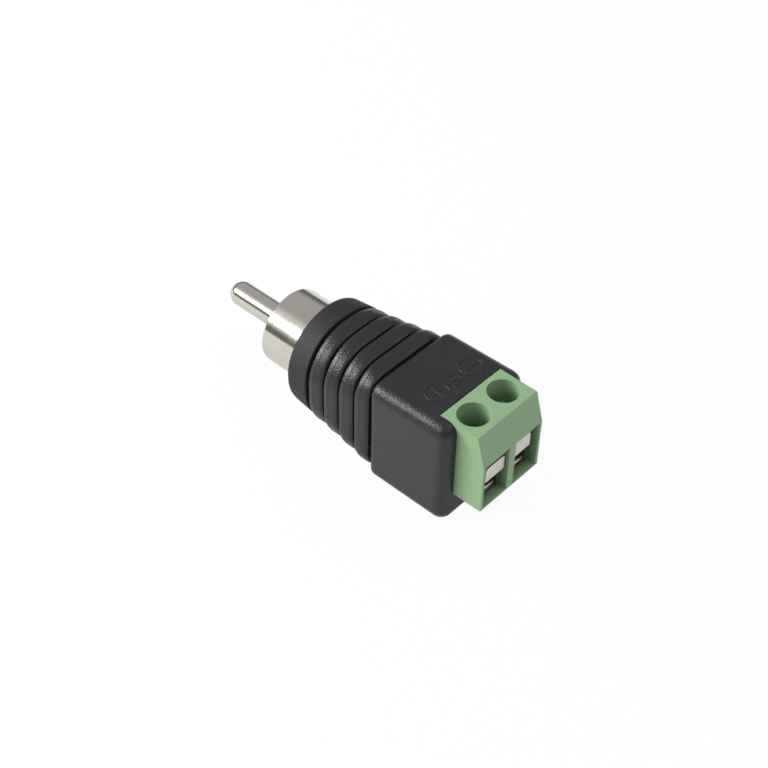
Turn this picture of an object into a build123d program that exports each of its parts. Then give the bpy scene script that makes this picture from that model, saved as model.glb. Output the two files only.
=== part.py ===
from build123d import *
import math
import os

# An RCA plug with a two-pole screw terminal, for fitting a plug to bare wires without solder.
# Millimetres. +X runs along the plug's axis and out of its mating end, +Z up through the screw heads.
# The origin is on the plug's axis, in the front face of the moulded body. "Left" is the +Y side.

# Plug: centre pin and ground sleeve
pin_radius = 1.6
pin_reach = 16.25  # tip of the pin, from the front face of the body
pin_neck_radius = 1.1  # through the insulator
pin_tail_length = 8.0  # back end of the pin, from the front face of the body
solder_cup_depth = 2.2
solder_cup_wall = 0.4
sleeve_radius = 5.0
sleeve_wall = 0.8
sleeve_reach = 6.2  # rim of the sleeve, from the front face of the body
sleeve_depth = 6.8  # from the rim down to the insulator's face
sleeve_floor = 1.0  # wall behind the insulator
sleeve_rim_chamfer = 0.25
sleeve_neck_radius = 4.75  # undercut that keys the sleeve into the moulding
sleeve_neck_length = 1.0
insulator_thickness = 2.0
insulator_tail_radius = 2.4
tab_width = 2.5
tab_thickness = 0.6
tab_length = 4.2

# Moulded body: a round cap, soft ribs that grow square, and a block that holds the terminal
cap_radius = 6.75
cap_front_chamfer = 0.3
groove_start = 3.25  # middle of the first groove, from the front face
groove_pitch = 2.44
groove_count = 5
groove_width = 0.34
groove_depth = 0.95
rib_bulge = 0.28  # a rib's crest stands this far over its edges
rib_crest_width = 0.8
rib_corner_radius = 3.05  # at the last groove
flat_growth = 0.2  # power: the flats come early
corner_growth = 1.42  # power: the corners tighten late
block_half_width = 6.85
block_bottom = 7.6
block_top = 7.43
block_front_drop = 0.33  # the top face slopes down to the ribs by this much
block_front_chamfer = 0.6
block_round = 1.7  # along the block and round its back
block_end = 24.6  # back end of the side walls, from the front face

# Terminal block housing
pole_pitch = 5.08
pole_count = 2
terminal_back = 22.12  # face that stands against the moulding
terminal_depth = 6.47
terminal_bottom = 3.39
terminal_top = 7.45
slope_length = 1.1  # how far the top face ends before the wire side
slope_drop = 3.85
terminal_edge_round = 0.15
screw_hole_radius = 1.89
screw_axis_depth = 2.59  # from the back face of the housing to the screws' axes
window_width = 4.15
window_divider = 1.1
window_top = 3.45
window_floor = 0.3
lip_length = 1.6  # floor left at the mouth, which runs in under the clamp frames
guide_depth = 1.3  # how far the wide mouth goes in before the frames' guides
frame_side_clearance = 0.05
housing_back_wall = 0.43

# Clamp frame: an extruded C of tinned brass, tapped through its thick top, with a solder pin
frame_width = 3.4
frame_wall = 0.5
frame_headroom = 0.1
frame_top_lip = 0.4
frame_lip_reach = 5.65  # from the frame's back to the end of its top lip
frame_block_reach = 4.45  # from the frame's back to the face of its thick top
frame_block_bottom = 0.9
frame_plate_top = 2.4  # top of the bottom plate, below the plug's axis
frame_plate_thickness = 0.6
frame_plate_reach = 4.62
frame_plate_corner = 0.25
solder_pin_width = 1.0
solder_pin_length = 3.4
thread_clearance = 0.05

# Clamp screw: slotted and headless, riveted into the wire guard
screw_radius = 1.5
screw_length = 3.6
screw_chamfer = 0.25
slot_width = 0.7
slot_depth = 0.9
rivet_radius = 0.65
rivet_flare = 0.35
rivet_clearance = 0.05

# Wire guard: a stamped leaf that hangs in the mouth and turns back under the screw
guard_width = 3.4
guard_sheet = 0.4
guard_height = 2.45
guard_corner = 0.45
guard_neck_width = 2.4
guard_pad_radius = 1.45
guard_bend_radius = 0.5
guard_setback = 0.39  # from the wire side of the housing to the leaf
guard_open_gap = 0.1  # under the frame's top lip when the screw is all the way up
left_guard_drop = 0.5  # how far each guard has been screwed down from there
right_guard_drop = 0.2

# Leads inside the moulding
lead_radius = 0.6
lead_level = 5.0
lead_gather = 4.5  # straight run behind the solder cup


# Sizes that follow from those above

insulator_face = sleeve_reach - sleeve_depth
sleeve_inner_radius = sleeve_radius - sleeve_wall
insulator_back = insulator_face - insulator_thickness
sleeve_back = insulator_back - sleeve_floor
last_groove = groove_start + groove_pitch * (groove_count - 1)
block_start = last_groove + groove_width / 2
terminal_half_width = pole_pitch * pole_count / 2
terminal_front = terminal_back + terminal_depth
screw_axis = terminal_back + screw_axis_depth
frame_back = terminal_back + housing_back_wall
frame_top = window_top - frame_headroom
guard_front = terminal_front - guard_setback
guard_top_open = frame_top - frame_top_lip - guard_open_gap
poles = {"left": 1, "right": -1}
guard_drops = {"left": left_guard_drop, "right": right_guard_drop}


def cross_plane(x, z=0.0):
    """A plane across the plug's axis, with its own x along +Y and its own y along +Z."""
    return Plane(origin=(x, 0, z), x_dir=(0, 1, 0), z_dir=(1, 0, 0))


def sizes_at(depth):
    """Half width, top, bottom and corner of the ribbed front: round at its face, nearly square at last."""
    share = min(depth / last_groove, 1.0)
    flats = share**flat_growth
    half_width = cap_radius + (block_half_width - cap_radius) * flats
    top = cap_radius + (block_top - block_front_drop - cap_radius) * flats
    bottom = cap_radius + (block_bottom - cap_radius) * flats
    corner = cap_radius + (rib_corner_radius - cap_radius) * share**corner_growth
    return half_width, top, bottom, corner


def body_section(depth, sizes, inset=0.0):
    """A rounded rectangle across the axis. The corner can't be more than the half sides allow."""
    half_width, top, bottom, corner = sizes
    width = 2 * (half_width - inset)
    height = top + bottom - 2 * inset
    radius = min(corner - inset, 0.4925 * width, 0.4925 * height)
    return cross_plane(-depth, (top - bottom) / 2) * RectangleRounded(width, height, radius)


def make_cap():
    """The plain front of the moulding, round at its face, up to the first groove."""
    back = groove_start - groove_width / 2
    sections = [
        body_section(0, sizes_at(0), cap_front_chamfer),
        body_section(cap_front_chamfer, sizes_at(cap_front_chamfer)),
        body_section(back, sizes_at(back)),
    ]
    return loft(sections, ruled=True)


def make_groove_floor(index):
    """The core under one groove, which reaches to the middle of the rib on each side."""
    middle = groove_start + groove_pitch * index
    return extrude(body_section(middle, sizes_at(middle), groove_depth), groove_pitch / 2, both=True)


def make_rib(index):
    """One soft rib, with a narrow crest. Its underside is level with the block's, so the plug lies flat."""
    middle = groove_start + groove_pitch * (index + 0.5)
    to_edge = (groove_pitch - groove_width) / 2
    to_crest = rib_crest_width / 2
    half_width, top, _, corner = sizes_at(middle)
    sizes = (half_width, top, block_bottom, corner)
    sections = [
        body_section(middle - to_edge, sizes, rib_bulge),
        body_section(middle - to_crest, sizes),
        body_section(middle + to_crest, sizes),
        body_section(middle + to_edge, sizes, rib_bulge),
    ]
    return loft(sections, ruled=True)


def make_terminal_block():
    """The square end of the moulding, which rises a little towards the terminal."""
    outline = Polyline(
        (-block_start, -block_bottom),
        (-block_start, block_top - block_front_drop),
        (-block_end, block_top),
        (-block_end, -block_bottom),
        close=True,
    )
    block = across(outline, block_half_width)
    long_edges = [edge for edge in block.edges() if abs((edge % 0.5).X) > 0.9]
    rear_edges = block.faces().sort_by(Axis.X)[0].edges()
    block = fillet([*long_edges, *rear_edges], block_round)
    return chamfer(block.faces().sort_by(Axis.X)[-1].edges(), block_front_chamfer)


def terminal_profile():
    """The housing's side outline, with its sloping face above the wire windows."""
    return Polyline(
        (-terminal_back, -terminal_bottom),
        (-terminal_back, terminal_top),
        (-terminal_front + slope_length, terminal_top),
        (-terminal_front, terminal_top - slope_drop),
        (-terminal_front, -terminal_bottom),
        close=True,
    )


def across(outline, half_width, middle=0.0):
    """A side outline, drawn as (x, z) pairs, made solid to half_width each side of a middle y."""
    face = Plane.XZ * make_face(outline)
    return Pos(0, middle, 0) * extrude(face, half_width, both=True)


def box_between(low, high):
    """A box from its lowest to its highest corner."""
    size = [b - a for a, b in zip(low, high)]
    middle = [(a + b) / 2 for a, b in zip(low, high)]
    return Pos(*middle) * Box(*size)


def rod(radius, low, high, x, y):
    """An upright round bar from low to high."""
    return Pos(x, y, (low + high) / 2) * Cylinder(radius, high - low)


def turned(outline):
    """An outline of (x, radius) pairs turned about the plug's axis."""
    face = make_face(Polyline(*outline, close=True))
    return revolve(face, Axis.X)


def make_sleeve_outside():
    """The sleeve's outside, as if it were solid: the moulding is formed round this."""
    return turned(
        [
            (sleeve_reach, 0),
            (sleeve_reach, sleeve_radius - sleeve_rim_chamfer),
            (sleeve_reach - sleeve_rim_chamfer, sleeve_radius),
            (0, sleeve_radius),
            (0, sleeve_neck_radius),
            (-sleeve_neck_length, sleeve_neck_radius),
            (-sleeve_neck_length, sleeve_radius),
            (sleeve_back, sleeve_radius),
            (sleeve_back, 0),
        ]
    )


def make_ground_tab():
    """The solder tab under the back of the sleeve."""
    tab_low = -sleeve_radius + tab_thickness
    tab = box_between(
        (sleeve_back - tab_length, -tab_width / 2, tab_low),
        (sleeve_back, tab_width / 2, tab_low + tab_thickness),
    )
    end_edges = tab.edges().filter_by(Axis.Z).group_by(Axis.X)[0]
    return fillet(end_edges, tab_width / 3)


def make_ground_sleeve():
    """The turned shell round the pin, with a floor that the insulator sits on."""
    bore = turned(
        [
            (sleeve_reach + 1, 0),
            (sleeve_reach + 1, sleeve_inner_radius),
            (insulator_back, sleeve_inner_radius),
            (insulator_back, insulator_tail_radius),
            (sleeve_back - 1, insulator_tail_radius),
            (sleeve_back - 1, 0),
        ]
    )
    return make_sleeve_outside() - bore + make_ground_tab()


def make_insulator():
    """The bush that holds the pin in the middle of the sleeve, through the sleeve's floor."""
    return turned(
        [
            (insulator_face, pin_neck_radius),
            (insulator_face, sleeve_inner_radius),
            (insulator_back, sleeve_inner_radius),
            (insulator_back, insulator_tail_radius),
            (sleeve_back, insulator_tail_radius),
            (sleeve_back, pin_neck_radius),
        ]
    )


def make_centre_pin():
    """The pin: a round nose, a neck held by the insulator and a solder cup at the back."""
    nose_start = pin_reach - pin_radius
    cup_radius = pin_neck_radius - solder_cup_wall
    nose = ThreePointArc(
        (nose_start, pin_radius),
        (nose_start + pin_radius * math.sqrt(0.5), pin_radius * math.sqrt(0.5)),
        (pin_reach, 0),
    )
    shank = Polyline(
        (pin_reach, 0),
        (-pin_tail_length + solder_cup_depth, 0),
        (-pin_tail_length + solder_cup_depth, cup_radius),
        (-pin_tail_length, cup_radius),
        (-pin_tail_length, pin_neck_radius),
        (insulator_face, pin_neck_radius),
        (insulator_face, pin_radius),
        (nose_start, pin_radius),
    )
    return revolve(make_face([*nose.edges(), *shank.edges()]), Axis.X)


def make_terminal_housing():
    """The housing of the terminal: a window and a screw hole for each pole, open under the clamp frames."""
    housing = across(terminal_profile(), terminal_half_width)
    housing = fillet(housing.edges().filter_by(Axis.Y), terminal_edge_round)
    cavity_back = -frame_back
    mouth_back = -terminal_front + guide_depth
    lip_back = -terminal_front + lip_length
    floor = -terminal_bottom + window_floor
    guide = frame_width / 2 + frame_side_clearance
    for side in poles.values():
        pole_y = side * pole_pitch / 2
        window_y = side * (window_divider + window_width) / 2
        mouth = box_between(
            (-terminal_front - 1, window_y - window_width / 2, floor),
            (mouth_back, window_y + window_width / 2, window_top),
        )
        chamber = box_between(
            (mouth_back, pole_y - guide, floor), (cavity_back, pole_y + guide, window_top)
        )
        underside = box_between(
            (lip_back, pole_y - guide, -terminal_bottom - 1),
            (cavity_back, pole_y + guide, floor),
        )
        screw_hole = rod(
            screw_hole_radius, window_top, terminal_top + 1, -screw_axis, pole_y
        )
        housing = housing - mouth - chamber - underside - screw_hole
    return housing


def make_clamp_frame(side):
    """One pole's frame: a C open to the wire, tapped for the screw, with a solder pin below."""
    middle = side * pole_pitch / 2
    plate_bottom = -frame_plate_top - frame_plate_thickness
    lip_bottom = frame_top - frame_top_lip
    outline = Polyline(
        (-frame_back, plate_bottom),
        (-frame_back, frame_top),
        (-frame_back - frame_lip_reach, frame_top),
        (-frame_back - frame_lip_reach, lip_bottom),
        (-frame_back - frame_block_reach, lip_bottom),
        (-frame_back - frame_block_reach, frame_block_bottom),
        (-frame_back - frame_wall, frame_block_bottom),
        (-frame_back - frame_wall, -frame_plate_top),
        (-frame_back - frame_plate_reach, -frame_plate_top),
        (-frame_back - frame_plate_reach, plate_bottom),
        close=True,
    )
    frame = across(outline, frame_width / 2, middle)
    upright = frame.edges().filter_by(Axis.Z)
    plate_x = -frame_back - frame_plate_reach
    plate_corners = [e for e in upright if abs(e.center().X - plate_x) < 0.01]
    frame = fillet(plate_corners, frame_plate_corner)
    tapped_hole = rod(
        screw_radius + thread_clearance, 0, frame_top + 1, -screw_axis, middle
    )
    pin_low = plate_bottom - solder_pin_length
    half_pin = solder_pin_width / 2
    solder_pin = box_between(
        (-frame_back - solder_pin_width, middle - half_pin, pin_low),
        (-frame_back, middle + half_pin, plate_bottom),
    )
    pin_end = solder_pin.faces().sort_by(Axis.Z)[0].edges()
    return frame - tapped_hole + chamfer(pin_end, solder_pin_width / 5)


def guard_bottom(drop):
    """Height of a guard's underside when it is drop below its highest place."""
    return guard_top_open - guard_height - drop


def make_wire_guard(side, drop):
    """A leaf in front of the frame, bent back to a pad that the screw is riveted into."""
    middle = side * pole_pitch / 2
    low = guard_bottom(drop)
    back = -screw_axis + guard_pad_radius
    strip = make_face(
        Polyline(
            (-guard_front, low),
            (-guard_front, low + guard_height),
            (-guard_front + guard_sheet, low + guard_height),
            (-guard_front + guard_sheet, low + guard_sheet),
            (back, low + guard_sheet),
            (back, low),
            close=True,
        )
    )
    outer_bend = strip.vertices().sort_by_distance((-guard_front, low))[0]
    strip = fillet(outer_bend, guard_bend_radius)
    inner_corner = (-guard_front + guard_sheet, low + guard_sheet)
    inner_bend = strip.vertices().sort_by_distance(inner_corner)[0]
    strip = fillet(inner_bend, guard_bend_radius - guard_sheet)
    bent = Pos(0, middle, 0) * extrude(Plane.XZ * strip, guard_width / 2, both=True)

    leaf_plane = Plane(
        origin=(-guard_front, middle, low + guard_height / 2),
        x_dir=(0, 1, 0),
        z_dir=(1, 0, 0),
    )
    leaf_outline = RectangleRounded(guard_width, guard_height, guard_corner)
    leaf = bent & extrude(leaf_plane * leaf_outline, guard_sheet)
    neck = bent & box_between(
        (-guard_front, middle - guard_neck_width / 2, low),
        (-screw_axis, middle + guard_neck_width / 2, low + guard_bend_radius),
    )
    pad = rod(guard_pad_radius, low, low + guard_sheet, -screw_axis, middle)
    hole_radius = rivet_radius + rivet_clearance
    hole = rod(hole_radius, low - 1, low + 1, -screw_axis, middle)
    flare_height = guard_sheet / 2
    flare = Pos(-screw_axis, middle, low + flare_height / 2) * Cone(
        hole_radius + rivet_flare, hole_radius, flare_height
    )
    return leaf + neck + pad - hole - flare


def make_clamp_screw(side, drop):
    """A slotted screw without a head. Its foot is riveted over, flush, under the guard's pad."""
    middle = side * pole_pitch / 2
    low = guard_bottom(drop)
    shoulder = low + guard_sheet + rivet_clearance
    top = shoulder + screw_length
    shank = rod(screw_radius, shoulder, top, -screw_axis, middle)
    top_edge = shank.edges().filter_by(GeomType.CIRCLE).sort_by(Axis.Z)[-1]
    shank = chamfer(top_edge, screw_chamfer)
    slot = box_between(
        (-screw_axis - slot_width / 2, middle - screw_radius - 1, top - slot_depth),
        (-screw_axis + slot_width / 2, middle + screw_radius + 1, top + 1),
    )
    neck = rod(rivet_radius, low, shoulder, -screw_axis, middle)
    flare_height = guard_sheet / 2 - rivet_clearance
    flare = Pos(-screw_axis, middle, low + flare_height / 2) * Cone(
        rivet_radius + rivet_flare - rivet_clearance, rivet_radius, flare_height
    )
    return shank - slot + neck + flare


def make_lead(side, points):
    """A stiff round wire from one pole's solder pin, bent sharply between its straight runs."""
    behind_pin = (-frame_back - lead_radius, side * pole_pitch / 2, -lead_level)
    path = Polyline(behind_pin, *points)
    start = Plane(origin=path @ 0, z_dir=path % 0)
    wire = sweep(start * Circle(lead_radius), path=path, transition=Transition.RIGHT)
    return split(wire, Plane.YZ.offset(-frame_back), keep=Keep.TOP)


def make_plus_lead():
    """From the left pole's solder pin to the cup at the back of the centre pin."""
    cup_floor = -pin_tail_length + solder_cup_depth
    bend = (-pin_tail_length - lead_gather, 0, 0)
    return make_lead(poles["left"], [bend, (cup_floor, 0, 0)])


def make_minus_lead():
    """From the right pole's solder pin to the underside of the sleeve's tab."""
    level = -sleeve_radius + tab_thickness - lead_radius
    bend = (sleeve_back - tab_length - lead_radius, 0, level)
    return make_lead(poles["right"], [bend, (sleeve_back - lead_radius, 0, level)])


def make_moulded_body(inner_pieces):
    """The soft black moulding, formed round the plug, the terminal and the leads."""
    body = make_cap() + make_terminal_block()
    for index in range(groove_count):
        body += make_groove_floor(index)
    for index in range(groove_count - 1):
        body += make_rib(index)
    body -= make_sleeve_outside()
    body -= across(terminal_profile(), terminal_half_width)
    for piece in inner_pieces:
        body -= piece
    return body


os.makedirs("parts", exist_ok=True)

ground_sleeve = make_ground_sleeve()
insulator = make_insulator()
centre_pin = make_centre_pin()
plus_lead = make_plus_lead()
minus_lead = make_minus_lead()
clamp_frames = {name: make_clamp_frame(side) for name, side in poles.items()}

export_step(
    make_moulded_body(
        [ground_sleeve, insulator, centre_pin, plus_lead, minus_lead, *clamp_frames.values()]
    ),
    "parts/moulded_body.step",
)
export_step(ground_sleeve, "parts/ground_sleeve.step")
export_step(insulator, "parts/insulator.step")
export_step(centre_pin, "parts/centre_pin.step")
export_step(plus_lead, "parts/plus_lead.step")
export_step(minus_lead, "parts/minus_lead.step")
export_step(make_terminal_housing(), "parts/terminal_housing.step")
for name, side in poles.items():
    export_step(clamp_frames[name], f"parts/clamp_frame_{name}.step")
    export_step(make_wire_guard(side, guard_drops[name]), f"parts/wire_guard_{name}.step")
    export_step(make_clamp_screw(side, guard_drops[name]), f"parts/clamp_screw_{name}.step")
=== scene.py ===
import math

import bmesh
import bpy
from mathutils import Matrix, Vector


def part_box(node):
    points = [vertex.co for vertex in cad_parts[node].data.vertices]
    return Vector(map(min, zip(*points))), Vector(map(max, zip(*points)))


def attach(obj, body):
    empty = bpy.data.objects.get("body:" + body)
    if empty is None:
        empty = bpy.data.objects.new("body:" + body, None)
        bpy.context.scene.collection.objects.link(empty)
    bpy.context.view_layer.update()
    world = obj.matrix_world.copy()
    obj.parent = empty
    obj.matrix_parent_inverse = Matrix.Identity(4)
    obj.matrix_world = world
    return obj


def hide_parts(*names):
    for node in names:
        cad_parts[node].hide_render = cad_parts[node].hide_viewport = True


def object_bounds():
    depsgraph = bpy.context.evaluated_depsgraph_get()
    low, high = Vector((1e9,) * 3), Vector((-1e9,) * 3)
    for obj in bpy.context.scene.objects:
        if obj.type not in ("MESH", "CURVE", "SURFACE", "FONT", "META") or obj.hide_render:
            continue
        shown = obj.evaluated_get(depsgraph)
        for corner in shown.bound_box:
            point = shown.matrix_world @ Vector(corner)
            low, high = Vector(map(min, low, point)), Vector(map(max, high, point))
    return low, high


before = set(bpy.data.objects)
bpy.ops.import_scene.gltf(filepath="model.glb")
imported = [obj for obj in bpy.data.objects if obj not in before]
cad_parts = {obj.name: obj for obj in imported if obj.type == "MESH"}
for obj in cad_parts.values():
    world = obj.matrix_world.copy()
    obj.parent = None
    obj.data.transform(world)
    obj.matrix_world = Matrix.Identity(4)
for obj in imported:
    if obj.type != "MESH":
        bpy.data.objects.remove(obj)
cadBox = [list(corner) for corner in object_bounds()]
print("frame loaded with", len(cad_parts), "nodes")

mm = 0.001  # the scene is in metres, the sizes below are in millimetres
seam = 0.0005  # points nearer to each other than this are one point
halfTurn = math.pi
poleSides = ("Left", "Right")


# a small layer over Blender's node trees

class Wire:
    # a socket that can stand in a formula: each operator adds its Math node

    def __init__(self, web, socket):
        self.web = web
        self.socket = socket

    def math(self, operation, *others):
        values = dict(enumerate([self, *others]))
        return self.web.node("ShaderNodeMath", values, {"operation": operation})

    def swapped(self, operation, other):
        return self.web.node("ShaderNodeMath", {0: other, 1: self}, {"operation": operation})

    def __add__(self, other):
        return self.math("ADD", other)

    def __sub__(self, other):
        return self.math("SUBTRACT", other)

    def __mul__(self, other):
        return self.math("MULTIPLY", other)

    def __truediv__(self, other):
        return self.math("DIVIDE", other)

    def __pow__(self, other):
        return self.math("POWER", other)

    def __rsub__(self, other):
        return self.swapped("SUBTRACT", other)

    __radd__ = __add__
    __rmul__ = __mul__

    def atLeast(self, other):
        return self.math("MAXIMUM", other)

    def atMost(self, other):
        return self.math("MINIMUM", other)

    def clamped(self):
        return self.atLeast(0.0).atMost(1.0)

    def over(self, limit):
        return self.math("GREATER_THAN", limit)

    def swing(self, amount):
        # noise from 0 to 1 becomes a change to either side of nothing
        return (self - 0.5) * amount


class Web:
    # one node tree, and the method that adds every node to it

    def __init__(self, tree):
        self.tree = tree

    def node(self, kind, values=None, settings=None, out=0):
        made = self.tree.nodes.new(kind)
        for name, value in (settings or {}).items():
            setattr(made, name, value)
        for key, value in (values or {}).items():
            if isinstance(value, Wire):
                self.tree.links.new(value.socket, made.inputs[key])
            else:
                made.inputs[key].default_value = value
        if not made.outputs:
            return made
        return Wire(self, made.outputs[out])

    def other(self, wire, out):
        return Wire(self, wire.socket.node.outputs[out])

    def mixColours(self, factor, first, second):
        settings = {"data_type": "RGBA", "clamp_factor": True}
        return self.node("ShaderNodeMix", {0: factor, 6: first, 7: second}, settings, out=2)

    def split(self, vector):
        first = self.node("ShaderNodeSeparateXYZ", {0: vector})
        return first, self.other(first, 1), self.other(first, 2)

    def join(self, x, y, z):
        return self.node("ShaderNodeCombineXYZ", {0: x, 1: y, 2: z})


def emptyWeb(owner):
    # the tree of a material or of the world, without the nodes it starts with
    owner.use_nodes = True
    owner.node_tree.nodes.clear()
    return Web(owner.node_tree)


def geometryTree(name, inputs):
    # an empty tree with a named, typed input for each size
    tree = bpy.data.node_groups.new(name, "GeometryNodeTree")
    web = Web(tree)
    sockets = {float: "NodeSocketFloat", int: "NodeSocketInt", tuple: "NodeSocketVector"}
    face = tree.interface
    face.new_socket(name="Outline", in_out="INPUT", socket_type="NodeSocketGeometry")
    for label, value in inputs.items():
        kind = sockets.get(type(value), "NodeSocketMaterial")
        socket = face.new_socket(name=label, in_out="INPUT", socket_type=kind)
        if value is not None:
            socket.default_value = value
    face.new_socket(name="Mesh", in_out="OUTPUT", socket_type="NodeSocketGeometry")
    source = tree.nodes.new("NodeGroupInput")
    inlets = {label: Wire(web, source.outputs[label]) for label in ["Outline", *inputs]}
    return tree, web, inlets


def closeTree(web, form, material):
    # every tree ends the same way: in metres, and as a plain mesh with its finish
    scaled = web.node("GeometryNodeTransform", {"Geometry": form, "Scale": (mm, mm, mm)})
    smooth = web.node("GeometryNodeSetShadeSmooth", {"Geometry": scaled})
    whole = web.node("GeometryNodeRealizeInstances", {"Geometry": smooth})
    finished = web.node("GeometryNodeSetMaterial", {"Geometry": whole, "Material": material})
    web.node("NodeGroupOutput", {0: finished})


def ringGrid(web, inlet, edgeSteps):
    # rounds the outline's corners and makes a grid with one ring for each point of it
    rounding = web.node(
        "GeometryNodeInputNamedAttribute", {"Name": "rounding"}, {"data_type": "FLOAT"}
    )
    curve = web.node("GeometryNodeMeshToCurve", {"Mesh": inlet["Outline"]})
    curve = web.node(
        "GeometryNodeFilletCurve",
        {"Curve": curve, "Count": edgeSteps, "Radius": rounding, "Limit Radius": True},
        {"mode": "POLY"},
    )
    rings = web.node("GeometryNodeAttributeDomainSize", {"Geometry": curve}, {"component": "CURVE"})
    grid = web.node(
        "GeometryNodeMeshGrid",
        {"Size X": 1.0, "Size Y": 1.0, "Vertices X": rings, "Vertices Y": inlet["Around"] + 1},
    )
    position = web.node("GeometryNodeInputPosition")
    across, along, _ = web.split(position)
    ring = ((across + 0.5) * (rings - 1)).math("ROUND")
    point = web.node(
        "GeometryNodeSampleIndex",
        {"Geometry": curve, "Value": position, "Index": ring},
        {"data_type": "FLOAT_VECTOR", "domain": "POINT", "clamp": True},
    )
    return grid, along + 0.5, web.split(point)


def shapedGrid(web, grid, x, y, z):
    # moves the grid's points into place, and closes its seam and its poles
    moved = web.node("GeometryNodeSetPosition", {"Geometry": grid, "Position": web.join(x, y, z)})
    return web.node("GeometryNodeMergeByDistance", {"Geometry": moved, "Distance": seam})


def carve(web, form, size, middle, tilt=0.0):
    # takes a box out of a form; the quicker solvers leave open edges
    box = web.node("GeometryNodeMeshCube", {"Size": size})
    box = web.node(
        "GeometryNodeTransform",
        {"Geometry": box, "Translation": middle, "Rotation": (0.0, tilt, 0.0)},
    )
    how = {"operation": "DIFFERENCE", "solver": "EXACT"}
    return web.node("GeometryNodeMeshBoolean", {"Mesh 1": form, "Mesh 2": box}, how)


def linked(name, data):
    # a new object that is in the scene
    made = bpy.data.objects.new(name, data)
    bpy.context.scene.collection.objects.link(made)
    return made


def grow(name, outline, tree, values):
    # runs a tree on an outline and keeps only the plain mesh that comes out
    host = linked(name + "Outline", outline)
    modifier = host.modifiers.new("shape", "NODES")
    modifier.node_group = tree
    for item in tree.interface.items_tree:
        if item.in_out == "INPUT" and item.name in values:
            modifier[item.identifier] = values[item.name]
    host.update_tag()
    bpy.context.view_layer.update()
    evaluated = host.evaluated_get(bpy.context.evaluated_depsgraph_get())
    mesh = bpy.data.meshes.new_from_object(evaluated)
    mesh.name = name
    host.modifiers.remove(modifier)
    bpy.data.objects.remove(host)
    return linked(name, mesh)


def outlineMesh(name, points):
    # points are (a, b, flag, rounding): the rounding is read by the tree's fillet
    mesh = bpy.data.meshes.new(name)
    edges = [(i, i + 1) for i in range(len(points) - 1)]
    mesh.from_pydata([point[:3] for point in points], edges, [])
    rounding = mesh.attributes.new("rounding", "FLOAT", "POINT")
    rounding.data.foreach_set("value", [point[3] for point in points])
    return mesh


def settle(piece, sharpAngle, matrix=None):
    # closes seams and poles, turns every face outwards and marks the crisp edges
    if matrix is not None:
        piece.data.transform(matrix)
    shell = bmesh.new()
    shell.from_mesh(piece.data)
    bmesh.ops.remove_doubles(shell, verts=shell.verts, dist=seam * mm)
    bmesh.ops.dissolve_degenerate(shell, edges=shell.edges, dist=seam * mm)
    bmesh.ops.recalc_face_normals(shell, faces=shell.faces)
    for face in shell.faces:
        face.smooth = True
    for edge in shell.edges:
        edge.smooth = edge.is_manifold and edge.calc_face_angle(0) < math.radians(sharpAngle)
    shell.to_mesh(piece.data)
    shell.free()
    piece.data.update()


def applyModifiers(piece):
    # turns the live modifiers into plain mesh
    bpy.context.view_layer.update()
    evaluated = piece.evaluated_get(bpy.context.evaluated_depsgraph_get())
    mesh = bpy.data.meshes.new_from_object(evaluated)
    piece.modifiers.clear()
    piece.data = mesh


def evenNormals(piece):
    # large flats keep their normals, and only the narrow roundings turn
    modifier = piece.modifiers.new("normals", "WEIGHTED_NORMAL")
    modifier.keep_sharp = True
    modifier.weight = 80
    applyModifiers(piece)


def place(piece, body, slot, *replaced):
    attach(piece, body)
    if replaced:
        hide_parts(*replaced)


# finishes

def newMaterial(name, constants):
    # what is the same all over the surface sits on the shader's own sockets
    material = bpy.data.materials.new(name)
    web = emptyWeb(material)
    shader = web.node("ShaderNodeBsdfPrincipled", constants)
    web.node("ShaderNodeOutputMaterial", {"Surface": shader})
    where = web.node("ShaderNodeTexCoord", out="Object")
    return material, web, shader.socket.node, where


def feed(web, shader, name, wire):
    web.tree.links.new(wire.socket, shader.inputs[name])


def noise(web, where, size, detail=2.0, roughness=0.5):
    # size is in millimetres on the object
    values = {"Vector": where, "Scale": 1 / (size * mm), "Detail": detail, "Roughness": roughness}
    return web.node("ShaderNodeTexNoise", values)


def bump(web, height):
    # the height is in millimetres
    return web.node("ShaderNodeBump", {"Height": height, "Distance": mm, "Strength": 1.0})


blackFinish = {
    "base": (0.012, 0.012, 0.015, 1),
    "worn": (0.019, 0.019, 0.022, 1),
    "roughness": 0.31,
    "gloss": 0.42,
    "capEnd": -3.2,
    "capMatt": 0.34,  # how much rougher the round cap is
    "cloudSize": 4.0,
    "cloudSwing": 0.14,
    "grainSize": 0.22,
    "grainSwing": 0.2,
    "grainDepth": 0.058,
    "waveSize": 3.0,
    "waveDepth": 0.03,
    "speckSize": 1.5,
    "speckReach": 0.05,
    "speckPatches": 310.0,  # per metre: about half the specks fall outside them
    "speckShare": 0.6,
    "speckDepth": 0.01,
    "speck": (0.20, 0.20, 0.19, 1),
}


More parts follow.
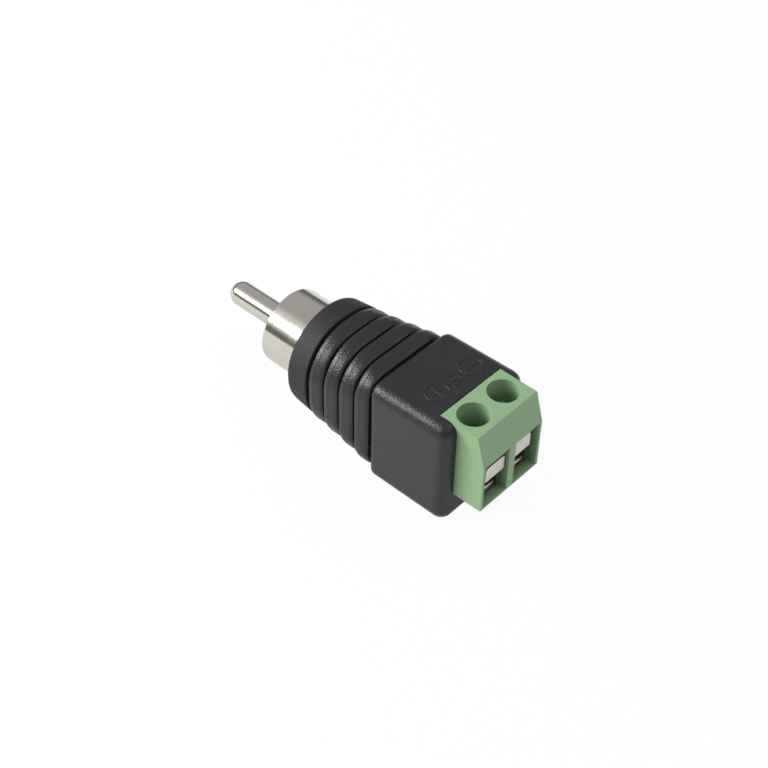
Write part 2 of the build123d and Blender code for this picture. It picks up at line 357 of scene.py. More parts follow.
def makeBlack(s):
    # soft moulded PVC: fine grain from the mould, slow sink marks and a little dust
    constants = {"IOR": 1.5, "Specular IOR Level": s["gloss"]}
    material, web, shader, where = newMaterial("blackMoulding", constants)
    cloud = noise(web, where, s["cloudSize"], detail=4.0)
    grain = noise(web, where, s["grainSize"], detail=3.0, roughness=0.6)
    wave = noise(web, where, s["waveSize"], detail=1.0)
    specks = web.node(
        "ShaderNodeTexVoronoi", {"Vector": where, "Scale": 1 / (s["speckSize"] * mm)}
    )
    patches = web.node(
        "ShaderNodeTexNoise", {"Vector": where, "Scale": s["speckPatches"], "Detail": 0.0}
    )
    dust = (s["speckReach"] - specks).over(0.0) * patches.over(0.5)
    toned = web.mixColours(cloud, s["base"], s["worn"])
    feed(web, shader, "Base Color", web.mixColours(dust * s["speckShare"], toned, s["speck"]))
    onCap = web.split(where)[0].over(s["capEnd"] * mm)
    matt = onCap * s["capMatt"] + s["roughness"]
    uneven = cloud.swing(s["cloudSwing"]) + grain.swing(s["grainSwing"])
    feed(web, shader, "Roughness", uneven + matt)
    height = grain * s["grainDepth"] + wave * s["waveDepth"] + dust * s["speckDepth"]
    feed(web, shader, "Normal", bump(web, height))
    return material


greenFinish = {
    "base": (0.258, 0.415, 0.226, 1),
    "deep": (0.226, 0.374, 0.196, 1),
    # the colour of the painted shade in the screw holes and wire windows
    "paintedShade": (0.030, 0.060, 0.026, 1),
    "roughness": 0.46,
    "cloudiness": 0.06,
    "cloudDepth": 0.4,
    "flowSize": 2.2,
    "flowStretch": 0.35,
    "flowSwing": 0.18,
    "flowDepth": 0.012,
    "grainSize": 0.22,
    "grainSwing": 0.1,
    "grainDepth": 0.004,
    "poleMiddle": 2.54,
    "holeAxis": -24.71,
    "holeRadius": 1.97,
    "holeTop": 7.35,  # where the painted shade in the holes begins, and over what depth it deepens
    "holeRun": 2.6,
    "holeShade": 0.28,
    "mouth": -28.5,
    "mouthRun": 1.3,
    "mouthShade": 0.72,
    "deepFrom": -27.9,  # from here inwards the windows take on the whole painted shade colour
    "deepRun": 0.7,
    "mouthHalfWidth": 2.2,
    "mouthLow": -3.15,
    "mouthHigh": 3.5,
}


def makeGreen(s):
    # unfilled polyamide: satin, faintly cloudy where the melt flowed
    constants = {
        "IOR": 1.5,
        "Subsurface Weight": s["cloudiness"],
        "Subsurface Scale": s["cloudDepth"] * mm,
    }
    material, web, shader, where = newMaterial("greenPolyamide", constants)
    stretch = web.node("ShaderNodeMapping", {"Vector": where, "Scale": (1, 1, s["flowStretch"])})
    flow = noise(web, stretch, s["flowSize"], detail=5.0, roughness=0.6)
    grain = noise(web, where, s["grainSize"])
    # painted shade: the base colour darkens down the screw holes and into the wire windows,
    # standing in for the shade that falls inside them
    x, y, z = (axis * (1 / mm) for axis in web.split(where))
    across = y.math("ABSOLUTE") - s["poleMiddle"]
    fromAxis = ((x - s["holeAxis"]) ** 2 + across**2) ** 0.5
    inHole = (s["holeRadius"] - fromAxis).over(0.0)
    paintedHoleShade = inHole * ((s["holeTop"] - z) / s["holeRun"]).clamped() * s["holeShade"]
    inMouth = (s["mouthHalfWidth"] - across.math("ABSOLUTE")).over(0.0)
    inMouth = inMouth * (z - s["mouthLow"]).over(0.0) * (s["mouthHigh"] - z).over(0.0)
    nearMouth = ((x - s["mouth"]) / s["mouthRun"]).clamped() * s["mouthShade"]
    mouth = inMouth * nearMouth.atLeast(((x - s["deepFrom"]) / s["deepRun"]).clamped())
    toned = web.mixColours(flow, s["base"], s["deep"])
    feed(web, shader, "Base Color", web.mixColours(paintedHoleShade.atLeast(mouth), toned, s["paintedShade"]))
    uneven = flow.swing(s["flowSwing"]) + grain.swing(s["grainSwing"])
    feed(web, shader, "Roughness", uneven + s["roughness"])
    feed(web, shader, "Normal", bump(web, grain * s["grainDepth"] + flow * s["flowDepth"]))
    return material


metalSurface = {"cloudSize": 2.6, "cloudSwing": 0.12, "lineSwing": 0.16}
metalFinishes = {
    "nickelPlate": {
        "base": (0.69, 0.67, 0.60, 1),
        "dull": (0.60, 0.58, 0.52, 1),
        "roughness": 0.14,
        "lineSize": (0.05, 3.0, 3.0),
        "lineDepth": 0.0012,
    },
    "tinnedBrass": {
        "base": (0.80, 0.78, 0.72, 1),
        "dull": (0.66, 0.64, 0.58, 1),
        "roughness": 0.30,
        "lineSize": (0.6, 0.6, 0.6),
        "lineDepth": 0.004,
    },
    "rolledLeaf": {
        "base": (0.76, 0.75, 0.67, 1),
        "dull": (0.66, 0.65, 0.58, 1),
        "roughness": 0.34,
        "lineSize": (1.2, 0.05, 1.2),
        "lineDepth": 0.0015,
    },
    "zincSteel": {
        "base": (0.80, 0.80, 0.78, 1),
        "dull": (0.62, 0.62, 0.60, 1),
        "roughness": 0.36,
        "lineSize": (0.12, 0.12, 0.12),
        "lineDepth": 0.003,
    },
    "tinnedCopper": {
        "base": (0.66, 0.60, 0.53, 1),
        "dull": (0.50, 0.44, 0.37, 1),
        "roughness": 0.34,
        "lineSize": (1.5, 0.08, 0.08),
        "lineDepth": 0.003,
    },
}


def makeMetal(name):
    # fine tool or rolling lines over a slow change of lustre
    s = {**metalSurface, **metalFinishes[name]}
    material, web, shader, where = newMaterial(name, {"Metallic": 1.0})
    scale = tuple(1 / size for size in s["lineSize"])
    stretched = web.node("ShaderNodeMapping", {"Vector": where, "Scale": scale})
    lines = noise(web, stretched, 1.0)
    cloud = noise(web, where, s["cloudSize"], detail=4.0)
    feed(web, shader, "Base Color", web.mixColours(cloud, s["base"], s["dull"]))
    uneven = lines.swing(s["lineSwing"]) + cloud.swing(s["cloudSwing"])
    feed(web, shader, "Roughness", uneven + s["roughness"])
    feed(web, shader, "Normal", bump(web, lines * s["lineDepth"]))
    return material


insulatorFinish = {
    "base": (0.02, 0.02, 0.021, 1),
    "worn": (0.034, 0.034, 0.036, 1),
    "roughness": 0.5,
    "cloudSize": 1.5,
    "cloudSwing": 0.2,
    "grainSize": 0.15,
    "grainDepth": 0.004,
}


def makeInsulator(s):
    material, web, shader, where = newMaterial("insulatorPlastic", {"IOR": 1.5})
    cloud = noise(web, where, s["cloudSize"], detail=4.0)
    grain = noise(web, where, s["grainSize"])
    feed(web, shader, "Base Color", web.mixColours(cloud, s["base"], s["worn"]))
    feed(web, shader, "Roughness", cloud.swing(s["cloudSwing"]) + s["roughness"])
    feed(web, shader, "Normal", bump(web, grain * s["grainDepth"]))
    return material


materials = {name: makeMetal(name) for name in metalFinishes}
materials["black"] = makeBlack(blackFinish)
materials["green"] = makeGreen(greenFinish)
materials["insulator"] = makeInsulator(insulatorFinish)
print("finishes made")


# the black moulding, whose outline follows one rule from its round face to its square end

moulding = {
    "capRadius": 6.75,
    "capEdge": 0.3,
    "capRings": 6,
    "grooveStart": 3.25,
    "groovePitch": 2.44,
    "grooveCount": 5,
    "grooveWidth": 0.34,
    "grooveDepth": 0.95,
    # each rib from its front edge to its back: place, inset from the crest, rounding
    "ribProfile": (
        (-1.0, 0.224, 0.16),
        (-0.8, 0.035, 0.25),
        (-0.25, 0.0, 0.05),
        (-0.16, 0.042, 0.03),
        (-0.07, 0.022, 0.05),
        (0.55, 0.13, 0.3),
        (0.8, 0.21, 0.25),
        (1.0, 0.38, 0.16),
    ),
    "shoulder": 0.16,
    "floorRound": 0.1,
    "ribCorner": 3.05,
    "leastCorner": 0.03,
    "flatGrowth": 0.2,
    "cornerGrowth": 1.42,
    "halfWidth": 6.85,
    "bottom": 7.6,
    "top": 7.43,
    "topDrop": 0.33,
    "blockCorner": 1.7,
    "blockFrontEdge": 0.8,
    "blockRearEdge": 1.75,
    "blockRings": 8,
    "end": 24.6,
    "endInsets": (2.2, 4.0, 6.0),
    "around": 160,
    "edgeSteps": 5,
    "flatShare": 0.2,  # the part of each quarter's points that lies on either flat
    "pocketFront": 21.98,
    "pocketChamfer": 0.14,
    "pocketHalfWidth": 5.08,
    "pocketFloor": 3.39,
    "pocketLength": 6.0,  # the pocket runs out of the back and the top
    "pocketHeight": 14.0,
    "seatRadius": 5.0,
    "seatDepth": 3.6,
    "neckRadius": 4.75,
    "neckDepth": 1.0,
    "sharpAngle": 40.0,
}
moulding["lastGroove"] = (
    moulding["grooveStart"] + moulding["groovePitch"] * (moulding["grooveCount"] - 1)
)
moulding["blockStart"] = moulding["lastGroove"] + moulding["grooveWidth"] / 2
moulding["blockLength"] = moulding["end"] - moulding["blockStart"]


def mouldingOutline(s):
    # (depth behind the face, inset from the outer form, 1 where that form is square, rounding)
    r = s["capRadius"]
    seat, neck = s["seatRadius"], s["neckRadius"]
    hollow = [(s["seatDepth"], 0.0), (s["seatDepth"], seat), (s["neckDepth"], seat)]
    hollow += [(s["neckDepth"], neck), (0.0, neck), (0.0, (neck + r) / 2)]
    points = [(depth, r - radius, 0.0, 0.0) for depth, radius in hollow]
    points.append((0.0, 0.0, 1.0, s["capEdge"]))
    half = (s["groovePitch"] - s["grooveWidth"]) / 2
    front = s["grooveStart"] - s["grooveWidth"] / 2
    rings = s["capRings"]
    points += [(front * step / rings, 0.0, 1.0, 0.0) for step in range(2, rings)]
    for index in range(s["grooveCount"]):
        middle = s["grooveStart"] + s["groovePitch"] * index
        low, high = middle - s["grooveWidth"] / 2, middle + s["grooveWidth"] / 2
        if index == 0:
            points.append((low, 0.0, 1.0, s["shoulder"]))
        points.append((low, s["grooveDepth"], 1.0, s["floorRound"]))
        points.append((high, s["grooveDepth"], 1.0, s["floorRound"]))
        if index < s["grooveCount"] - 1:
            for along, inset, turn in s["ribProfile"]:
                points.append((high + half * (1 + along), inset, 1.0, turn))
    start, length, rings = s["blockStart"], s["blockLength"], s["blockRings"]
    points.append((start, 0.0, 1.0, s["blockFrontEdge"]))
    points += [(start + length * step / rings, 0.0, 1.0, 0.0) for step in range(1, rings)]
    points.append((s["end"], 0.0, 1.0, s["blockRearEdge"]))
    points += [(s["end"], inset, 1.0, 0.0) for inset in (*s["endInsets"], s["halfWidth"])]
    return outlineMesh("mouldingOutline", points)


def mouldingTree(s):
    chamfer = s["pocketChamfer"] * 2**0.5
    rise = (s["end"] - s["pocketFront"]) / s["blockLength"]
    inputs = {
        "Around": s["around"],
        "Cap Radius": s["capRadius"],
        "Half Width": s["halfWidth"],
        "Top": s["top"],
        "Top Drop": s["topDrop"],
        "Bottom": s["bottom"],
        "Rib Corner": s["ribCorner"],
        "Block Corner": s["blockCorner"],
        "Flat Growth": s["flatGrowth"],
        "Corner Growth": s["cornerGrowth"],
        "First Groove": s["grooveStart"],
        "Last Groove": s["lastGroove"],
        "Block Start": s["blockStart"],
        "Block End": s["end"],
        "Pocket Size": (s["pocketLength"], 2 * s["pocketHalfWidth"], s["pocketHeight"]),
        "Pocket Middle": (
            -s["pocketFront"] - s["pocketLength"] / 2,
            0.0,
            s["pocketHeight"] / 2 - s["pocketFloor"],
        ),
        "Chamfer Size": (chamfer, 2 * s["pocketHalfWidth"], chamfer),
        "Chamfer Middle": (-s["pocketFront"], 0.0, s["top"] - s["topDrop"] * rise),
        "Finish": None,
    }
    tree, web, inlet = geometryTree("ribbedMoulding", inputs)
    grid, turn, (depth, inset, square) = ringGrid(web, inlet, s["edgeSteps"])

    # how far the form has gone from round to square
    share = (depth / inlet["Last Groove"]).clamped() * square
    flats = share ** inlet["Flat Growth"]
    inBlock = depth.over(inlet["Block Start"] - 2 * seam) * square
    run = inlet["Block End"] - inlet["Block Start"]
    rise = ((depth - inlet["Block Start"]) / run).clamped() * square
    cap = inlet["Cap Radius"]
    width = cap + (inlet["Half Width"] - cap) * flats
    top = cap + (inlet["Top"] - inlet["Top Drop"] - cap) * flats + inlet["Top Drop"] * rise
    level = depth.over(inlet["First Groove"]) * square
    bottom = cap + (inlet["Bottom"] - cap) * flats.atLeast(level)
    corner = cap + (inlet["Rib Corner"] - cap) * share ** inlet["Corner Growth"]
    corner = corner * (1 - inBlock) + inlet["Block Corner"] * inBlock

    # one quarter of the rounded rectangle, mirrored by the signs
    halfY = (width - inset).atLeast(0.0)
    halfZ = ((top + bottom) * 0.5 - inset).atLeast(0.0)
    radius = (corner - inset).atLeast(s["leastCorner"]).atMost(halfY.atMost(halfZ))
    quarter = (turn * 4.0).math("PINGPONG", 1.0)
    flat = s["flatShare"]
    angle = ((quarter - flat) / (1 - 2 * flat)).clamped() * (halfTurn / 2)
    y = (halfY - radius) * ((1 - quarter) / flat).clamped() + radius * angle.math("COSINE")
    z = (halfZ - radius) * (quarter / flat).clamped() + radius * angle.math("SINE")
    signY = (turn * (2 * halfTurn)).math("COSINE").math("SIGN")
    signZ = (turn * (2 * halfTurn)).math("SINE").math("SIGN")
    form = shapedGrid(web, grid, depth * -1.0, y * signY, (top - bottom) * 0.5 + z * signZ)

    # the pocket that holds the terminal
    form = carve(web, form, inlet["Pocket Size"], inlet["Pocket Middle"])
    form = carve(web, form, inlet["Chamfer Size"], inlet["Chamfer Middle"], halfTurn / 4)
    closeTree(web, form, inlet["Finish"])
    return tree


mouldedBody = grow(
    "mouldedBody", mouldingOutline(moulding), mouldingTree(moulding), {"Finish": materials["black"]}
)
settle(mouldedBody, moulding["sharpAngle"])
evenNormals(mouldedBody)
place(mouldedBody, "plug", "black_pvc", "moulded_body")
print("moulding:", len(mouldedBody.data.polygons), "faces")


# raised polarity marks on the block's top

marks = {
    "middle": (-19.5, -0.35),  # along and across the block
    "reach": 2.9,  # from the middle to each circle
    "circle": 1.42,
    "circleSteps": 48,
    "sign": 0.72,
    "arc": 0.8,
    "arcSteps": 24,
    "arcSpan": (0.25 * halfTurn, 1.75 * halfTurn),
    "dot": 0.12,
    "dotSteps": 16,
    "stroke": 0.095,
    "strokeSteps": 12,
    "sunk": 0.02,
    "sharpAngle": 35.0,
}


def markStrokes(s, body):
    # each stroke is a chain of points on the sloping top
    middleX, middleY = s["middle"]
    slope = body["topDrop"] / body["blockLength"]
    vertices, edges = [], []

    def stroke(points, closed=False):
        first = len(vertices)
        for x, y in points:
            height = body["top"] - slope * (body["end"] + x) - s["sunk"]
            vertices.append((x, y, height))
        edges.extend((first + i, first + i + 1) for i in range(len(points) - 1))
        if closed:
            edges.append((first + len(points) - 1, first))

    def arc(x, y, radius, start, end, steps):
        angles = [start + (end - start) * i / steps for i in range(steps + 1)]
        return [(x + radius * math.sin(a), y + radius * math.cos(a)) for a in angles]

    def ring(x, y, radius, steps):
        stroke(arc(x, y, radius, 0, 2 * halfTurn, steps)[:-1], closed=True)

    for side, end in ((1, s["dot"]), (-1, -s["arc"])):
        y = middleY + side * s["reach"]
        ring(middleX, y, s["circle"], s["circleSteps"])
        stroke([(middleX, y - s["sign"]), (middleX, y + s["sign"])])
        near = middleY + side * (s["reach"] - s["circle"])
        stroke([(middleX, near), (middleX, middleY + end)])
    y = middleY + s["reach"]
    stroke([(middleX - s["sign"], y), (middleX + s["sign"], y)])
    stroke(arc(middleX, middleY, s["arc"], *s["arcSpan"], s["arcSteps"]))
    ring(middleX, middleY, s["dot"], s["dotSteps"])
    mesh = bpy.data.meshes.new("markStrokes")
    mesh.from_pydata(vertices, edges, [])
    return mesh


def strokeTree(s):
    inputs = {"Stroke": s["stroke"], "Stroke Steps": s["strokeSteps"], "Finish": None}
    tree, web, inlet = geometryTree("raisedStrokes", inputs)
    curve = web.node("GeometryNodeMeshToCurve", {"Mesh": inlet["Outline"]})
    bead = web.node(
        "GeometryNodeCurvePrimitiveCircle",
        {"Resolution": inlet["Stroke Steps"], "Radius": inlet["Stroke"]},
        {"mode": "RADIUS"},
    )
    rods = web.node(
        "GeometryNodeCurveToMesh", {"Curve": curve, "Profile Curve": bead, "Fill Caps": True}
    )
    closeTree(web, rods, inlet["Finish"])
    return tree


polarityMarks = grow(
    "polarityMarks", markStrokes(marks, moulding), strokeTree(marks), {"Finish": materials["black"]}
)
settle(polarityMarks, marks["sharpAngle"])
place(polarityMarks, "plug", "black_pvc")
print("polarity marks made")


# turned pieces: one tree turns an outline, and cuts a thread where the outline asks for it

def turningTree():
    inputs = {
        "Around": 128,
        "Edge Steps": 4,
        "Thread Pitch": 0.5,
        "Thread Depth": 0.0,
        "Slot Size": (0.0, 0.0, 0.0),
        "Slot Middle": (0.0, 0.0, 1000.0),  # far off, for the pieces without a slot
        "Finish": None,
    }
    tree, web, inlet = geometryTree("turnedPiece", inputs)
    grid, turn, (radius, height, threaded) = ringGrid(web, inlet, inlet["Edge Steps"])
    phase = (height / inlet["Thread Pitch"] - turn).math("FRACT")
    cut = (phase - 0.5).math("ABSOLUTE") * 2.0
    worked = radius - cut * threaded * inlet["Thread Depth"]
    angle = turn * (2 * halfTurn)
    form = shapedGrid(
        web, grid, worked * angle.math("COSINE"), worked * angle.math("SINE"), height
    )
    form = carve(web, form, inlet["Slot Size"], inlet["Slot Middle"])
    closeTree(web, form, inlet["Finish"])
    return tree


turning = turningTree()
turnedSharpAngle = 35.0
alongPlug = Matrix.Rotation(halfTurn / 2, 4, "Y")  # an outline's height runs along +X


def turned(name, points, values, matrix):
    piece = grow(name, outlineMesh(name + "Outline", points), turning, values)
    settle(piece, turnedSharpAngle, matrix)
    evenNormals(piece)
    return piece


sleeve = {
    "radius": 5.0,
    "wall": 0.8,
    "reach": 6.2,
    "innerEnd": -2.6,
    "back": -3.6,
    "neck": 4.75,
    "neckLength": 1.0,
    "bore": 2.4,
    "backEdge": 0.05,
    "outerEdge": 0.22,
    "innerEdge": 0.12,
    "tabLow": (-7.8, -1.25, -4.4),
    "tabHigh": (-3.5, 1.25, -3.8),
}


def sleeveOutline(s):
    # in every turned outline: radius, height, 1 where it is threaded, rounding
    inner = s["radius"] - s["wall"]
    return [
        (s["bore"], s["back"], 0.0, 0.0),
        (s["radius"], s["back"], 0.0, s["backEdge"]),
        (s["radius"], -s["neckLength"], 0.0, 0.0),
        (s["neck"], -s["neckLength"], 0.0, 0.0),
        (s["neck"], 0.0, 0.0, 0.0),
        (s["radius"], 0.0, 0.0, 0.0),
        (s["radius"], s["reach"] / 2, 0.0, 0.0),
        (s["radius"], s["reach"], 0.0, s["outerEdge"]),
        (inner, s["reach"], 0.0, s["innerEdge"]),
        (inner, s["innerEnd"], 0.0, 0.0),
        (s["bore"], s["innerEnd"], 0.0, 0.0),
        (s["bore"], s["back"], 0.0, 0.0),
    ]


groundSleeve = turned(
    "groundSleeve", sleeveOutline(sleeve), {"Finish": materials["nickelPlate"]}, alongPlug
)


def addBox(piece, low, high):
    # the solder tab, joined to the sleeve's mesh
    shell = bmesh.new()
    shell.from_mesh(piece.data)
    size = Vector(high) - Vector(low)
    middle = (Vector(low) + Vector(high)) / 2
    matrix = Matrix.Translation(middle * mm) @ Matrix.Diagonal((*(size * mm), 1))
    bmesh.ops.create_cube(shell, size=1.0, matrix=matrix)
    shell.to_mesh(piece.data)
    shell.free()


addBox(groundSleeve, sleeve["tabLow"], sleeve["tabHigh"])
place(groundSleeve, "plug", "nickel_plate", "ground_sleeve")

pin = {
    "radius": 1.6,
    "tip": 16.25,
    "noseSteps": 10,
    "neck": 1.1,
    "face": -0.6,
    "tail": -8.0,
    "tailEdge": 0.1,
    "cupFloor": -5.8,
    "cupRadius": 0.7,
    "cupEdge": 0.05,
}


def pinOutline(s):
    r = s["radius"]
    shank = [
        (0.0, s["cupFloor"], 0.0, 0.0),
        (s["cupRadius"], s["cupFloor"], 0.0, 0.0),
        (s["cupRadius"], s["tail"], 0.0, s["cupEdge"]),
        (s["neck"], s["tail"], 0.0, s["tailEdge"]),
        (s["neck"], s["face"], 0.0, 0.0),
        (r, s["face"], 0.0, 0.0),
        (r, s["tip"] / 2, 0.0, 0.0),
    ]
    nose = []
    for step in range(s["noseSteps"] + 1):
        angle = halfTurn / 2 * step / s["noseSteps"]
        nose.append((r * math.cos(angle), s["tip"] - r + r * math.sin(angle), 0.0, 0.0))
    return shank + nose


centrePin = turned("centrePin", pinOutline(pin), {"Finish": materials["nickelPlate"]}, alongPlug)
place(centrePin, "plug", "nickel_plate", "centre_pin")

bush = {
    "bore": 1.1,
    "radius": 4.2,
    "tail": 2.4,
    "face": -0.6,
    "innerRing": 0.6,  # an extra ring on the face, beside the bore
    "shoulder": -2.6,
    "end": -3.6,
    "edge": 0.08,
    "tailEdge": 0.1,
}


def bushOutline(s):
    return [
        (s["bore"], s["face"], 0.0, 0.0),
        (s["bore"] + s["innerRing"], s["face"], 0.0, 0.0),
        (s["radius"], s["face"], 0.0, s["edge"]),
        (s["radius"], s["shoulder"], 0.0, s["edge"]),
        (s["tail"], s["shoulder"], 0.0, 0.0),
        (s["tail"], s["end"], 0.0, s["tailEdge"]),
        (s["bore"], s["end"], 0.0, 0.0),
        (s["bore"], s["face"], 0.0, 0.0),
    ]


insulatorBush = turned(
    "insulatorBush", bushOutline(bush), {"Finish": materials["insulator"]}, alongPlug
)
place(insulatorBush, "plug", "insulator_plastic", "insulator")

screw = {
    "radius": 1.5,
    "pitch": 0.5,
    "threadDepth": 0.27,
    "chamfer": 0.25,
    "ringStep": 0.05,
    "neck": 0.65,
    "flare": 0.3,
    "flareHeight": 0.15,
    "footHeight": 0.45,
    "footEdge": 0.03,
    "topEdge": 0.04,
    "slotWidth": 0.7,
    "slotDepth": 0.9,
    "slotLength": 4.0,
    "standsUp": 0.45,  # how much longer it shows in its hole
    "around": 96,
}


def screwOutline(s, low, high):
    shoulder = low + s["footHeight"]
    points = [
        (0.0, low, 0.0, 0.0),
        (s["neck"] + s["flare"], low, 0.0, s["footEdge"]),
        (s["neck"], low + s["flareHeight"], 0.0, 0.0),
        (s["neck"], shoulder, 0.0, 0.0),
        (s["radius"] - s["chamfer"], shoulder, 0.0, s["footEdge"]),
    ]
    start, end = shoulder + s["chamfer"], high - s["chamfer"]
    steps = round((end - start) / s["ringStep"])
    for step in range(steps + 1):
        points.append((s["radius"], start + (end - start) * step / steps, 1.0, 0.0))
    points.append((s["radius"] - s["chamfer"], high, 0.0, s["topEdge"]))
    points.append((0.0, high, 0.0, 0.0))
    return points


for side in poleSides:
    node = "clamp_screw_" + side.lower()
    low, high = (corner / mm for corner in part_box(node))
    high.z += screw["standsUp"]
    axis = Matrix.Translation(Vector(((low.x + high.x) / 2, (low.y + high.y) / 2, 0)) * mm)
    values = {
        "Around": screw["around"],
        "Thread Pitch": screw["pitch"],
        "Thread Depth": screw["threadDepth"],
        "Slot Size": (screw["slotWidth"], screw["slotLength"], 2 * screw["slotDepth"]),
        "Slot Middle": (0.0, 0.0, high.z),
        "Finish": materials["zincSteel"],
    }
    clampScrew = turned("clampScrew" + side, screwOutline(screw, low.z, high.z), values, axis)
    place(clampScrew, "screw_" + side.lower(), "zinc_steel", node)
print("turned pieces made")


# moulded and stamped pieces: the solids' own form with its edges broken

terminal = {
    "edge": 0.09,
    "edgeSteps": 3,
    "frameEdge": 0.05,
    "guardEdge": 0.06,
    "metalEdgeSteps": 2,
    "flatAngle": 0.6,  # faces that meet flatter than this become one
    "bevelAngle": 35.0,
    "sharpAngle": 60.0,
    "roundSteps": 4,
    "plateTop": -2.4,  # the frame's bottom plate, whose rounded front edge shows in the window
    "plateFront": -26.9,
    "plateRound": 0.2,
    "plateNear": 0.01,
    "lipFront": -28.1,
    "lipReach": 0.16,
    "lipRound": 0.1,
    "leafBack": -27.75,
    "leafHalfWidth": 1.7,
    "leafTrim": {"Left": 0.15, "Right": -0.56},  # taken off one side of each leaf
}


def roundedEdges(shell, width, test):
    # rounds only the edges whose two ends both pass the test
    edges = [edge for edge in shell.edges if all(test(vert.co / mm) for vert in edge.verts)]
    bmesh.ops.bevel(
        shell,
        geom=edges,
        offset=width * mm,
        segments=terminal["roundSteps"],
        profile=0.5,
        affect="EDGES",
    )


def finishFrame(shell):
    # the edges of the C that catch the light in the window
    s = terminal
    for vert in shell.verts:
        if vert.co.x < s["lipFront"] * mm:
            vert.co.x -= s["lipReach"] * mm

    def onPlate(point):
        return point.x < s["plateFront"] and abs(point.z - s["plateTop"]) < s["plateNear"]

    roundedEdges(shell, s["plateRound"], onPlate)
    roundedEdges(shell, s["lipRound"], lambda point: point.x < s["lipFront"])


def finishGuard(side):
    trim = terminal["leafTrim"][side]
    low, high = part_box("wire_guard_" + side.lower())
    middle = (low.y + high.y) / 2

    def narrow(shell):
        for vert in shell.verts:
            offset = vert.co.y - middle
            if vert.co.x < terminal["leafBack"] * mm and offset * trim > 0:
                vert.co.y = middle + offset * (1 - abs(trim) / terminal["leafHalfWidth"])

    return narrow


def reworked(node, name, finish, edge, steps, body, slot, reshape=None):
    shell = bmesh.new()
    shell.from_mesh(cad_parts[node].data)
    bmesh.ops.remove_doubles(shell, verts=shell.verts, dist=2 * seam * mm)
    flat = math.radians(terminal["flatAngle"])
    bmesh.ops.dissolve_limit(
        shell, angle_limit=flat, verts=shell.verts, edges=shell.edges, delimit={"NORMAL"}
    )
    if reshape:
        reshape(shell)
    mesh = bpy.data.meshes.new(name)
    shell.to_mesh(mesh)
    shell.free()
    mesh.materials.append(materials[finish])
    piece = linked(name, mesh)
    bevel = piece.modifiers.new("edges", "BEVEL")
    bevel.width = edge * mm
    bevel.segments = steps
    bevel.limit_method = "ANGLE"
    bevel.angle_limit = math.radians(terminal["bevelAngle"])
    bevel.use_clamp_overlap = True
    applyModifiers(piece)
    settle(piece, terminal["sharpAngle"])
    evenNormals(piece)
    place(piece, body, slot, node)


reworked(
    "terminal_housing",
    "terminalHousing",
    "green",
    terminal["edge"],
    terminal["edgeSteps"],
    "plug",
    "green_polyamide",
)
for side in poleSides:
    tail = side.lower()
    reworked(
        "clamp_frame_" + tail,
        "clampFrame" + side,
        "tinnedBrass",
        terminal["frameEdge"],
        terminal["metalEdgeSteps"],
        "plug",
        "tinned_brass",
        finishFrame,
    )
    reworked(
        "wire_guard_" + tail,
        "wireGuard" + side,
        "rolledLeaf",
        terminal["guardEdge"],
        terminal["metalEdgeSteps"],
        "guard_" + tail,
        "stainless_leaf",
        finishGuard(side),
    )
for node in ("plus_lead", "minus_lead"):
    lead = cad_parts[node]
    lead.data.materials.clear()
    lead.data.materials.append(materials["tinnedCopper"])
print("terminal made")


# stage, light and camera

stage = {
    "floorSize": 1600.0,
    "floorGap": 0.03,  # keeps the floor clear of the flat underside
    "whiteness": 0.95,  # what the camera sees of the floor, and what metal mirrors of it
    "mirrored": 0.82,
    "shade": 0.35,  # painted shadow: the floor's mirrored brightness beside the plug
    "shadeReach": 14.0,
    "paper": (0.74, 0.74, 0.7326, 1),
    "skyLevel": 0.50,
    "haloLevel": 0.5,
    "haloFrom": 0.80,
    "horizonLevel": 0.16,
    "horizonFrom": 0.20,
    "horizonHeight": 0.22,
    "white": (1, 1, 1, 1),
}

lamps = {
    "distance": 450.0,
    "key": {"from": (0.76, 0.50, 0.42), "size": (140.0, 140.0), "power": 1.6},
    "strip": {"from": (0.48, 0.69, 0.54), "size": (220.0, 120.0), "power": 0.7},
    "fill": {"from": (-0.55, -0.2, 0.8), "size": (500.0, 500.0), "power": 0.55},
}


def makeFloorFinish(s):
    material = bpy.data.materials.new("paperFloor")
    web = emptyWeb(material)
    camera = web.node("ShaderNodeLightPath", out="Is Camera Ray")
    glossy = web.other(camera, "Is Glossy Ray")
    x, y, _ = web.split(web.node("ShaderNodeTexCoord", out="Object"))
    (lowX, lowY), (highX, highY) = (corner[:2] for corner in cadBox)
    # painted shadow: what the floor shows in reflections grows darker towards the plug's footprint
    away = (lowX - x).atLeast(x - highX).atLeast((lowY - y).atLeast(y - highY))
    clear = (away / (s["shadeReach"] * mm)).clamped() * (1 - s["shade"]) + s["shade"]
    white = (camera * s["whiteness"]).atLeast(glossy * s["mirrored"] * clear)
    paper = web.node("ShaderNodeBsdfDiffuse", {"Color": s["paper"]})
    glow = web.node("ShaderNodeEmission", {"Color": s["white"], "Strength": 1.0})
    mixed = web.node("ShaderNodeMixShader", {0: white, 1: paper, 2: glow})
    web.node("ShaderNodeOutputMaterial", {"Surface": mixed})
    return material


def makeFloor(s):
    half = s["floorSize"] / 2 * mm
    low = cadBox[0][2] - s["floorGap"] * mm
    corners = [(-half, -half, low), (half, -half, low), (half, half, low), (-half, half, low)]
    mesh = bpy.data.meshes.new("floor")
    mesh.from_pydata(corners, [], [(0, 1, 2, 3)])
    mesh.materials.append(makeFloorFinish(s))
    linked("floor", mesh)


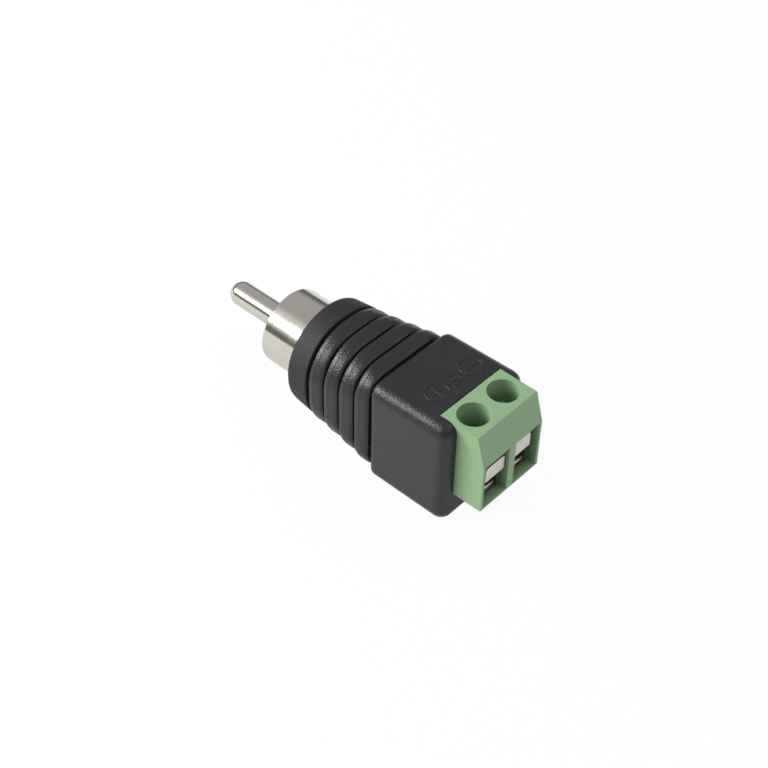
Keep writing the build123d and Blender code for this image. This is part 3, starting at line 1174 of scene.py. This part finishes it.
def makeSky(s):
    # plain white to the camera; to the plug, a halo round the strip light and a dark horizon
    world = bpy.data.worlds.new("studio")
    bpy.context.scene.world = world
    web = emptyWeb(world)
    seen = web.node("ShaderNodeLightPath", out="Is Camera Ray")
    outward = web.node("ShaderNodeTexCoord", out="Generated")
    _, _, upward = web.split(outward)
    toStrip = Vector(lamps["strip"]["from"]).normalized()
    nearStrip = web.node(
        "ShaderNodeVectorMath", {0: outward, 1: toStrip}, {"operation": "DOT_PRODUCT"}, "Value"
    )
    halo = ((nearStrip - s["haloFrom"]) / (1 - s["haloFrom"])).clamped() * s["haloLevel"]
    openness = ((upward - s["horizonFrom"]) / s["horizonHeight"]).clamped()
    room = openness * (halo + s["skyLevel"] - s["horizonLevel"]) + s["horizonLevel"]
    level = seen + (1 - seen) * room
    glow = web.node("ShaderNodeBackground", {"Color": s["white"], "Strength": level})
    web.node("ShaderNodeOutputWorld", {"Surface": glow})


def makeLamp(name, s):
    # a rectangle of light that faces the origin
    data = bpy.data.lights.new(name, "AREA")
    data.shape = "RECTANGLE"
    data.size, data.size_y = (side * mm for side in s["size"])
    data.energy = s["power"]
    away = Vector(s["from"]).normalized()
    made = linked(name, data)
    made.location = away * (lamps["distance"] * mm)
    made.rotation_euler = away.to_track_quat("Z", "Y").to_euler()


makeFloor(stage)
makeSky(stage)
for name in ("key", "strip", "fill"):
    makeLamp(name + "Light", lamps[name])

shot = {
    "target": (-5.0, 0.0, 0.0),
    "azimuth": 48.243,
    "elevation": 43.676,
    "roll": 1.198,
    "distance": 180.241,
    "right": 3.176,
    "up": -1.952,
    "lens": 70.984,
    "sensor": 36.0,
    "clipStart": 10.0,
}


def makeCamera(s):
    # stands behind the wire side, to the left of the plug and above it
    azimuth, elevation, roll = (math.radians(s[key]) for key in ("azimuth", "elevation", "roll"))
    back = Vector((-math.cos(azimuth), math.sin(azimuth), 0)) * math.cos(elevation)
    back.z = math.sin(elevation)
    level = (-back).cross(Vector((0, 0, 1))).normalized()
    upright = level.cross(-back)
    right = level * math.cos(roll) + upright * math.sin(roll)
    up = upright * math.cos(roll) - level * math.sin(roll)
    target = Vector(s["target"]) + right * s["right"] + up * s["up"]
    data = bpy.data.cameras.new("photoCamera")
    data.sensor_width = s["sensor"]
    data.lens = s["lens"]
    data.clip_start = s["clipStart"] * mm
    made = linked("photoCamera", data)
    turn = Matrix((right, up, back)).transposed().to_4x4()
    made.matrix_world = Matrix.Translation((target + back * s["distance"]) * mm) @ turn
    bpy.context.scene.camera = made


makeCamera(shot)
bpy.context.scene.view_settings.view_transform = "Standard"
print("stage, light and camera made")
